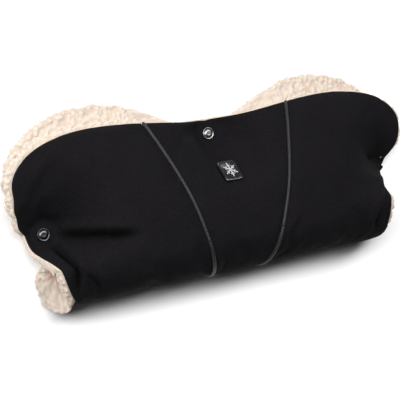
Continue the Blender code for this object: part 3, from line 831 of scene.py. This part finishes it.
def wear_group():
    """Uneven patches and small specks, for rubbed nap, dust and lint: Patches is broad and
    soft, Specks is 1 on a few tiny spots."""
    tree, given, result = new_group(
        "wear_and_lint", [("Vector", "NodeSocketVector", None), ("Size", "NodeSocketFloat", 30.0)],
        [("Patches", "NodeSocketFloat"), ("Specks", "NodeSocketFloat")])
    patches = noise(tree, given.outputs["Vector"], given.outputs["Size"], detail=4.0)
    tree.links.new(ranged(tree, patches, 0.3, 0.7), result.inputs["Patches"])
    specks = noise(tree, given.outputs["Vector"],
                   math_node(tree, "MULTIPLY", given.outputs["Size"], 24.0), detail=1.0)
    tree.links.new(ranged(tree, specks, 0.74, 0.80), result.inputs["Specks"])
    return tree


def fleece_group():
    """Tangled fibres: Height is fine curled relief, Tint where fibres lie in shade."""
    tree, given, result = new_group(
        "fleece", [("Vector", "NodeSocketVector", None), ("Size", "NodeSocketFloat", 420.0)],
        [("Height", "NodeSocketFloat"), ("Tint", "NodeSocketFloat")])
    bent = tree.nodes.new("ShaderNodeTexNoise")
    tree.links.new(given.outputs["Vector"], bent.inputs["Vector"])
    tree.links.new(given.outputs["Size"], bent.inputs["Scale"])
    bent.inputs["Detail"].default_value = 5.0
    bent.inputs["Distortion"].default_value = 1.6
    tree.links.new(bent.outputs["Fac"], result.inputs["Height"])
    broad = noise(tree, given.outputs["Vector"],
                  math_node(tree, "MULTIPLY", given.outputs["Size"], 0.22), detail=3.0)
    tree.links.new(ranged(tree, broad, 0.35, 0.7), result.inputs["Tint"])
    return tree


def use_group(mat, tree, coordinates, **values):
    """The group placed in a material, fed with Object coordinates or the UV map."""
    node = mat.node_tree.nodes.new("ShaderNodeGroup")
    node.node_tree = tree
    source = mat.node_tree.nodes.new("ShaderNodeTexCoord")
    mat.node_tree.links.new(source.outputs[coordinates], node.inputs["Vector"])
    for label, value in values.items():
        node.inputs[label].default_value = value
    return node


def cloth_material(name, dark, light, dust, groups, threads, roughness, sheen, specular):
    """Woven cloth: two yarn tones, broad patches where the nap lies differently, lint specks, a soft sheen,
    relief from the weave, and painted shade darkening the colour along the creases."""
    mat, shader = new_material(name, light, roughness)
    tree = mat.node_tree
    weave = use_group(mat, groups["weave"], "UV", Threads=threads)
    wear = use_group(mat, groups["wear"], "Object", Size=34.0)
    yarns = mixed_colour(tree, weave.outputs["Tone"], dark, light)
    nap = math_node(tree, "MULTIPLY", wear.outputs["Patches"], 0.35)
    napped = mixed_colour(tree, nap, yarns, light)
    lint = math_node(tree, "MULTIPLY", wear.outputs["Specks"], 0.35)
    linted = mixed_colour(tree, lint, napped, dust)
    # painted shade: along the creases the colour is mixed towards near black, by the crease mask on the
    # points
    crease_painted_shade = tree.nodes.new("ShaderNodeAttribute")
    crease_painted_shade.attribute_name = "crease_painted_shade"
    painted_shade = math_node(tree, "MULTIPLY", crease_painted_shade.outputs["Fac"], 0.85)
    tree.links.new(mixed_colour(tree, painted_shade, linted, (0.0006, 0.0006, 0.0006)),
                   shader.inputs["Base Color"])
    tree.links.new(ranged(tree, weave.outputs["Height"], 0.2, 1.5, roughness + 0.08, roughness - 0.05),
                   shader.inputs["Roughness"])
    shader.inputs["Sheen Weight"].default_value = sheen
    shader.inputs["Sheen Roughness"].default_value = 0.45
    shader.inputs["Sheen Tint"].default_value = (0.80, 0.78, 0.86, 1)
    shader.inputs["Specular IOR Level"].default_value = specular
    broad = bump(tree, shader, wear.outputs["Patches"], 0.18, 0.004)
    bump(tree, shader, weave.outputs["Height"], 0.35, 0.0004, broad)
    return mat


def pile_material(groups):
    """Curly cream pile with painted light and shade: lighter on the curls, darker and warmer down between
    them, and painted shade where the pile closes inside the tube's ends.
    """
    mat, shader = new_material("pile_fleece", (0.80, 0.68, 0.56), 0.95)
    tree = mat.node_tree
    fleece = use_group(mat, groups["fleece"], "Object", Size=420.0)
    curl_painted_shade = tree.nodes.new("ShaderNodeAttribute")
    curl_painted_shade.attribute_name = "curl_painted_shade"
    painted_closure_shade = tree.nodes.new("ShaderNodeAttribute")
    painted_closure_shade.attribute_name = "painted_closure_shade"
    # painted light and shade: lighter on the curl tops and the fibres' raised relief, darker and warmer
    # between them
    shade = math_node(tree, "MULTIPLY", fleece.outputs["Height"], 0.45)
    tip = math_node(tree, "ADD", math_node(tree, "MULTIPLY", curl_painted_shade.outputs["Fac"], 0.7), shade, clamp=True)
    fibre = mixed_colour(tree, tip, (0.40, 0.32, 0.26), (0.61, 0.54, 0.465))
    patchy = math_node(tree, "MULTIPLY", fleece.outputs["Tint"], 0.35)
    toned = mixed_colour(tree, patchy, fibre, (0.55, 0.465, 0.395))
    # painted shade where the pile closes inside the tube's ends: the colour is mixed towards a dark pinkish
    # brown
    tree.links.new(mixed_colour(tree, painted_closure_shade.outputs["Fac"], toned, (0.42, 0.24, 0.18)),
                   shader.inputs["Base Color"])
    shader.inputs["Sheen Weight"].default_value = 0.15
    shader.inputs["Sheen Roughness"].default_value = 0.6
    shader.inputs["Sheen Tint"].default_value = (1.0, 0.93, 0.86, 1)
    shader.inputs["Specular IOR Level"].default_value = 0.1
    shader.inputs["Subsurface Weight"].default_value = 0.15
    shader.inputs["Subsurface Scale"].default_value = 0.004
    bump(tree, shader, fleece.outputs["Height"], 0.7, 0.0012)
    return mat


def wadding_material(groups):
    mat, shader = new_material("wadding_fibres", (0.78, 0.77, 0.75), 0.95)
    fleece = use_group(mat, groups["fleece"], "Object", Size=160.0)
    mat.node_tree.links.new(mixed_colour(mat.node_tree, fleece.outputs["Tint"], (0.70, 0.69, 0.67),
                                         (0.84, 0.83, 0.81)), shader.inputs["Base Color"])
    bump(mat.node_tree, shader, fleece.outputs["Height"], 0.5, 0.001)
    return mat


def metal_material(name, colour, dull, roughness, groups):
    """Plated metal: finely rubbed plating that dulls in patches, with a few dust specks."""
    mat, shader = new_material(name, colour, roughness, 1.0)
    tree = mat.node_tree
    wear = use_group(mat, groups["wear"], "Object", Size=260.0)
    tree.links.new(mixed_colour(tree, wear.outputs["Patches"], colour, dull), shader.inputs["Base Color"])
    tree.links.new(ranged(tree, wear.outputs["Patches"], 0, 1, roughness, roughness + 0.16),
                   shader.inputs["Roughness"])
    bump(tree, shader, wear.outputs["Patches"], 0.08, 0.0002)
    return mat


def moulded_material(name, colour, light, roughness, coat, groups):
    """Moulded rubber or print: a fine pebbled skin, rubbed a little lighter in patches."""
    mat, shader = new_material(name, colour, roughness)
    tree = mat.node_tree
    wear = use_group(mat, groups["wear"], "Object", Size=180.0)
    tree.links.new(mixed_colour(tree, wear.outputs["Patches"], colour, light), shader.inputs["Base Color"])
    tree.links.new(ranged(tree, wear.outputs["Specks"], 0, 1, roughness, roughness + 0.3),
                   shader.inputs["Roughness"])
    shader.inputs["Coat Weight"].default_value = coat
    shader.inputs["Coat Roughness"].default_value = 0.12
    bump(tree, shader, wear.outputs["Patches"], 0.1, 0.0002)
    return mat


def all_materials():
    groups = {"weave": weave_group(), "wear": wear_group(), "fleece": fleece_group()}
    return {
        "softshell": cloth_material("softshell_cloth", (0.0034, 0.0030, 0.0035), (0.0080, 0.0072, 0.0084),
                                    (0.03, 0.03, 0.032), groups, 1250.0, 0.82, 0.012, 0.04),
        "piping_cloth": cloth_material("satin_piping", (0.006, 0.006, 0.0066), (0.013, 0.013, 0.014),
                                       (0.03, 0.03, 0.03), groups, 1700.0, 0.42, 0.06, 0.30),
        "pile": pile_material(groups),
        "wadding": wadding_material(groups),
        "bright_metal": metal_material("bright_plating", (0.27, 0.27, 0.265), (0.17, 0.17, 0.168),
                                       0.24, groups),
        "dark_metal": metal_material("dark_plating", (0.10, 0.10, 0.105), (0.05, 0.05, 0.055),
                                     0.24, groups),
        "rubber": moulded_material("glossy_patch", (0.008, 0.008, 0.009), (0.016, 0.016, 0.017),
                                   0.22, 0.5, groups),
        "print": moulded_material("silver_print", (0.30, 0.30, 0.31), (0.42, 0.42, 0.43),
                                  0.32, 0.2, groups),
    }


# ---------------------------------------------------------------- soft pieces

def own(obj, zone):
    """Rides the piece on its body, or, across the fold, bakes its transform into its points and leaves it
    on neither body.
    """
    if zone == "fold":
        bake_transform(obj)
    else:
        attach(obj, "front_flap" if zone == "front" else "back_panel")


def roll(distance, radius):
    """Depth of a rolled edge: a quarter circle from the edge inwards."""
    inside = np.clip(radius - distance, 0, radius)
    return radius - np.sqrt(radius ** 2 - inside ** 2)


def shares_for(zone, counts, edges):
    """Stations of a zone: across a wing, across the centre and along the rows."""
    length = {"front": 0.15, "fold": 2 * QUARTER, "back": 0.17}[zone]
    wing = stations(counts["wing"], 0.17, edges, edges)
    centre = stations(counts["centre"], 0.05, edges, edges, -1.0, 1.0)
    along = stations(counts[zone], length, False, edges and zone != "fold")
    return wing, centre, along


def thickness(grid):
    """Wadding and pile thickness, both squeezed near a press stud."""
    y = section(grid[..., 1])[0]
    squeeze = np.max([falloff(d, SNAP_FLAT_R, SQUEEZE_R) for d in snap_distances(grid[..., 0], y)], axis=0)
    squeeze = squeeze * (np.abs(grid[..., 1]) > QUARTER * 0.7)
    return (WAD_T + (SNAP_WAD_T - WAD_T) * squeeze, PILE_T + (SNAP_PILE_T - PILE_T) * squeeze, squeeze)


def softshell_panels(zone, lines, puffs, mats):
    """The three softshell panels of a zone, rolled under along the outline and into the seams."""
    wing_u, centre_u, v = shares_for(zone, SHELL_STATIONS, True)
    for where, grid in zone_grids(zone, wing_u, centre_u, v).items():
        x, s = grid[..., 0], grid[..., 1]
        puff = puff_on(zone, where, centre_u if where == "centre" else wing_u, v, puffs)
        seams = [np.abs(x - side * pipe_x(s) - seam_slump(s)) * 0.955 - seam_gap(s)
                 for side in (-1, 1)]
        outer_depth = np.maximum(roll(distance_to(grid, lines), HEM_R),
                                 roll(np.maximum(np.minimum(*seams), 0), SEAM_R))
        inner_depth = np.maximum(SHELL_T, outer_depth + 0.0008)
        # the crease mask, stored on the outer and inner points, paints shade into the softshell's colour
        panel = closed_slab(f"{zone}_{where}_softshell", place(grid, outer_depth, puff),
                            place(grid, inner_depth, puff), [], grid, mats["softshell"],
                            {"crease_painted_shade": np.tile(painted_crease_shade(x, s).ravel(), 2)})
        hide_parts(f"{zone}_{where}_shell")
        own(panel, zone)


def wadding_pads(zone, puffs, mats):
    """The wadding behind each panel, clear of the hems and seams."""
    wing_u = np.linspace(0.04, 0.86, PAD_STATIONS["wing"])
    centre_u = np.linspace(-0.88, 0.88, PAD_STATIONS["centre"])
    v = np.linspace(0, 1 if zone == "fold" else 0.90, PAD_STATIONS[zone])
    for where, grid in zone_grids(zone, wing_u, centre_u, v).items():
        puff = puff_on(zone, where, centre_u if where == "centre" else wing_u, v, puffs)
        wad = thickness(grid)[0]
        top = np.full(wad.shape, WAD_TOP)
        pad = closed_slab(f"{zone}_{where}_pad", place(grid, top, puff), place(grid, top + wad, puff),
                          [], grid, mats["wadding"])
        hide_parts(f"{zone}_{where}_wadding")
        own(pad, zone)


def end_share(s):
    """1 round the tube, fading to 0 towards the end press studs, sooner under the muff."""
    return 1 - smoothstep((np.abs(s) - 0.75 * QUARTER) / np.where(s > 0, 0.050, 0.032))


def lip_reach(x, s, zone):
    """How far the pile stands out past the softshell's outline: a roll round the tube's ends,
    a small one along the lobes, and next to nothing at the dip and by the end press studs."""
    out = np.abs(x)
    lobes = smoothstep((np.abs(s) - 0.118) / 0.030)
    if zone == "front":
        lobe = 0.0008 + np.where(x < 0, 0.0062, 0.0026) * smoothstep((out - 0.035) / 0.07)
    else:
        lobe = 0.0022 + 0.0030 * smoothstep((out - 0.035) / 0.05)
    ends = END_REACH * (1 - smoothstep((np.abs(s) - 0.9 * QUARTER) / 0.030))
    return np.where(out > 0.19, 0.0003 + lobe * lobes + ends, lobe)


def lip_flare(x, s):
    """How far the roll at the tube's ends turns back over the softshell."""
    rise = smoothstep((0.40 * QUARTER - s) / (0.6 * QUARTER)) * smoothstep((s + QUARTER) / (0.5 * QUARTER))
    return np.where(np.abs(x) > 0.16, np.where(x < 0, 0.025, 0.008) * rise, 0)


def half_gap(x, s):
    """Half the height between the front and the back at a place, round the tube its radius."""
    def half(t):
        return (sheet(x, t)[..., 2] - sheet(x, -t)[..., 2]) / 2
    share = np.clip(np.abs(s) / QUARTER, 0, 1) ** 2
    round_tube = TUBE_R + (half(np.full(x.shape, QUARTER)) - TUBE_R) * share
    return np.where(np.abs(s) < QUARTER, round_tube, half(np.abs(s)))


def pile_depths(grid, edge):
    """Depths at which the pile begins and ends, how much its curls show, and how nearly it is
    closed: it thickens into the tube's ends until they almost meet."""
    wad, pile, squeeze = thickness(grid)
    begins = PILE_TOP + 0.0008 + (wad + 0.0003) * smoothstep((edge - 0.004) / (HEM_BAND - 0.004))
    x, s = grid[..., 0], grid[..., 1]
    from_end = rim_x(s) - np.abs(x - np.where(x < 0, eased(s, LEFT_SLUMP), eased(s, RIGHT_SLUMP)))
    room = np.maximum(half_gap(x, s) - begins - pile - 0.001, 0)
    close = END_CLOSE * room * smoothstep(1 - from_end / END_CLOSE_SPAN) * end_share(s)
    return begins, begins + pile + close, 1 - squeeze, smoothstep(close / 0.018 - 0.25)


def pile_lining(zone, lines, puffs, mats):
    """The pile lining of a zone, in one piece. Its border is a roll: half an ellipse from the
    outer to the inner face, which reaches past the softshell and, at the tube's ends, turns
    back over it. Curls stand out along the normal of the inner face and the roll."""
    wing_u, centre_u, v = shares_for(zone, PILE_STATIONS, False)
    grids = zone_grids(zone, wing_u, centre_u, v, gap=lambda s: 0 * s)
    fields = [puff_on(zone, where, centre_u if where == "centre" else wing_u, v, puffs) for where in grids]
    panels = list(grids.values())
    grid = np.concatenate([panels[0], panels[1][1:-1], panels[2]])
    puff = np.concatenate([fields[0], fields[1][1:-1], fields[2]])
    columns, rows = grid.shape[:2]
    begins, ends, show, shut = pile_depths(grid, distance_to(grid, lines))
    face = outward(grid[..., 0], grid[..., 1])
    outer, inner = place(grid, begins, puff), place(grid, ends, puff)

    ring = ring_of(columns, rows)
    at = grid.reshape(-1, 2)[ring]
    ahead, behind = np.roll(at, -1, axis=0), np.roll(at, 1, axis=0)
    run = ahead - behind
    away = np.stack([run[:, 1], -run[:, 0]], axis=-1)
    away /= np.linalg.norm(away, axis=-1, keepdims=True)
    joined = np.zeros((columns, rows), bool)
    if zone != "back":
        joined[:, 0] = True
    if zone != "front":
        joined[:, -1] = True
    corner = joined.copy()
    corner[1:-1] = False
    joined, corner = joined.ravel()[ring], corner.ravel()[ring]
    away[corner] = np.stack([np.sign(at[corner, 0]), 0 * at[corner, 0]], axis=-1)
    wave = np.sin(at[:, 0] * 190 + at[:, 1] * 310) + 0.6 * np.sin(at[:, 1] * 700 - at[:, 0] * 520)
    reach = lip_reach(at[:, 0], at[:, 1], zone)
    reach = (reach + 0.0007 * wave * smoothstep(reach / 0.004)) * (~joined | corner)
    flare = lip_flare(at[:, 0], at[:, 1]) * (~joined | corner)
    top, bottom = begins.ravel()[ring], ends.ravel()[ring]
    wall, wall_normals, wall_show, wall_painted_closure_shade = [], [], [], []
    for turn in np.linspace(0, np.pi, LIP_ROWS + 2)[1:-1]:
        depth = (top + bottom) / 2 - (bottom - top) / 2 * np.cos(turn) - flare * np.sin(turn) ** 2
        spot = at + away * (reach * np.sin(turn))[:, None]
        wall.append(place(spot, depth, puff.reshape(-1, 3)[ring]))
        beyond = place(at + away * 0.001, 0 * top) - place(at, 0 * top)
        beyond /= np.linalg.norm(beyond, axis=-1, keepdims=True)
        wall_normals.append(face.reshape(-1, 3)[ring] * np.cos(turn) + beyond * np.sin(turn))
        wall_show.append(smoothstep(turn / 0.5) * smoothstep(reach / 0.005))
        # painted shade on the inner side of the roll where the tube's end closes
        wall_painted_closure_shade.append(shut.ravel()[ring] * smoothstep((turn - 2.4) / 0.6))

    points = np.concatenate([outer.reshape(-1, 3), inner.reshape(-1, 3)] + wall)
    normals = np.concatenate([face.reshape(-1, 3), -face.reshape(-1, 3)] + wall_normals)
    shown = np.concatenate([0 * show.ravel(), show.ravel()] + wall_show)
    # the coarse and fine curl heights also paint light and shade into the pile's colour, through the curl
    # attribute
    coarse, fine = lumps(points, CURL), lumps(points, FINE_CURL)
    points = points + normals * ((CURL_H * coarse + FINE_CURL_H * fine) * shown)[:, None]
    points[:, 2] = np.maximum(points[:, 2], 0.0005 + 0.0006 * coarse * (zone == "back"))
    # painted shade: darkest where the pile closes inside the tube's ends, and faint in some hollows between
    # the curls
    painted_closure_shade = np.concatenate([0 * shut.ravel(), shut.ravel()] + wall_painted_closure_shade) * 0.8
    painted_closure_shade = np.maximum(painted_closure_shade, 0.10 * lumps(points, 0.031) * (1 - coarse))
    count = columns * rows
    wall = np.split(points[2 * count:], LIP_ROWS)
    lining = closed_slab(f"{zone}_pile", points[:count].reshape(columns, rows, 3),
                         points[count:2 * count].reshape(columns, rows, 3), wall, grid, mats["pile"],
                         {"curl_painted_shade": coarse * 0.75 + fine * 0.25, "painted_closure_shade": painted_closure_shade}, sharp=180)
    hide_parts(f"{zone}_lining")
    own(lining, zone)


def pipings(zone, mats):
    """The round piping along both seams of a zone, slightly puckered by its stitches. It sinks
    into the seam under the muff, and its free ends are rounded."""
    u, v = np.array([0.0, 1.0]), np.linspace(0, 1, 90)
    grids = zone_grids(zone, u, np.array([-1.0, 1.0]), v, gap=lambda s: 0 * s)
    for where, side in (("left", -1), ("right", 1)):
        line = grids["centre"][0 if side < 0 else -1]
        s = line[:, 1]
        angle = np.clip(-s / TUBE_R, 1e-6, np.pi / 2)
        sunk = (TUBE_R * (1 - np.sin(angle)) - PIPE_R) / np.sin(angle)
        lift = np.where(s >= 0, PIPE_PROUD, np.minimum(PIPE_PROUD, sunk))
        centres = place(line[None], -lift[None])[0]
        along = np.gradient(centres, axis=0)
        along /= np.linalg.norm(along, axis=-1, keepdims=True)
        ups = outward(line[:, 0], s)
        sides = np.cross(along, ups)
        sides /= np.linalg.norm(sides, axis=-1, keepdims=True)
        radii = PIPE_R * (1 - 0.035 * (1 + np.sin(s * 2 * np.pi / 0.0045)))
        free = {"front": len(s) - 1, "back": 0}.get(zone)
        if free is not None:
            from_end = np.abs(np.arange(len(s)) - free)
            radii *= np.sqrt(np.clip(1 - (1 - from_end / 1.6).clip(0, 1) ** 2, 0.04, 1))
        rope = swept(f"{zone}_{where}_rope", centres, sides, ups, radii, mats["piping_cloth"])
        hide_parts(f"{zone}_{where}_piping")
        own(rope, zone)


# ---------------------------------------------------------------- press studs and badge

def snap_caps(mats):
    """Pressed caps: a rolled rim, a groove and a low dome with a shallow dish in its middle."""
    for where, (x, y) in SNAPS.items():
        low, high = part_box(where + "_snap_cap")
        seat = high.z - 0.0026
        outer = (high.x - low.x) / 2
        rim = [(outer - 0.0008 + 0.0008 * np.sin(t), seat + 0.0009 + 0.0009 * np.cos(t))
               for t in np.linspace(-0.6, np.pi, 9)]
        dome = [(r, seat + 0.0009 + 0.0017 * np.sqrt(max(0, 1 - (r / 0.0056) ** 2)) ** 1.3
                 - 0.0004 * np.exp(-(r / 0.0022) ** 4)) for r in np.linspace(0, 0.0055, 14)]
        groove = [(0.0058, seat + 0.0007), (0.0061, seat + 0.0008)]
        barrel = [(0.0015, seat), (0.0015, low.z), (0, low.z)]
        cap = turned(f"{where}_stud_cap", dome + groove + rim + barrel, (x, y + FOLD_Y, 0),
                     mats["bright_metal" if where == "centre" else "dark_metal"])
        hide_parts(where + "_snap_cap")
        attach(cap, "front_flap")


def badge(mats):
    """The badge: a rounded square from its middle to its edge, a superellipse at each share of
    the way out, with a sunk field, a raised rim and a rolled edge."""
    share = np.array([0, 0.2, 0.4, 0.6, 0.74, 0.79, 0.82, 0.85, 0.89, 0.93, 0.96, 0.985, 1.0, 1.0])
    height = np.array([0, 0, 0, 0, 0, 0, 0.0002, 0.0005, 0.0007, 0.0007, 0.0005, 0.0002,
                       -0.0004, -0.0010])
    turn = np.linspace(0, 2 * np.pi, 96, endpoint=False)
    bend = 7.0
    far = (np.abs(np.cos(turn)) ** bend + np.abs(np.sin(turn)) ** bend) ** (-1 / bend)
    x = share[1:, None] * far * np.cos(turn) * BADGE_SIDE / 2
    s = share[1:, None] * far * np.sin(turn) * BADGE_SIDE / 2
    level = np.broadcast_to(height[1:, None], x.shape)
    lift = 0.0017
    rings = np.concatenate([np.stack([x, s + BADGE_S, level + lift], -1).reshape(-1, 3),
                            [(0, BADGE_S, lift), (0, BADGE_S, 0.0007)]])
    points = place(rings[None, :, :2], -rings[None, :, 2])[0]
    count, segments = x.shape
    index = np.arange(count * segments).reshape(count, segments)
    ahead = np.roll(index, -1, axis=1)
    faces = np.stack([index[:-1], index[1:], ahead[1:], ahead[:-1]], -1).reshape(-1, 4).tolist()
    middle, under = count * segments, count * segments + 1
    faces += np.stack([np.full(segments, middle), index[0], ahead[0]], -1).tolist()
    faces += np.stack([np.full(segments, under), ahead[-1], index[-1]], -1).tolist()
    mesh = bpy.data.meshes.new("badge_plate")
    mesh.from_pydata(points.tolist(), [], faces)
    mesh.shade_smooth()
    mesh.set_sharp_from_angle(angle=np.radians(60))
    plate = new_object("badge_plate", mesh, mats["rubber"])
    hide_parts("badge_patch")
    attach(plate, "front_flap")


def refinish(mats):
    """CAD pieces whose shape is right keep it and get their finish."""
    for name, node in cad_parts.items():
        if name.endswith(("_socket", "_stud", "_post")):
            node.data.materials.clear()
            node.data.materials.append(mats["bright_metal"])
        if name == "badge_flake":
            node.data.materials.clear()
            node.data.materials.append(mats["print"])


# ---------------------------------------------------------------- the muff

def build():
    studio()
    mats = all_materials()
    puffs = simulate_puffs()
    for zone in ("front", "fold", "back"):
        lines = outline_of(zone)
        softshell_panels(zone, lines, puffs, mats)
        wadding_pads(zone, puffs, mats)
        pile_lining(zone, lines, puffs, mats)
        pipings(zone, mats)
    snap_caps(mats)
    badge(mats)
    refinish(mats)


build()
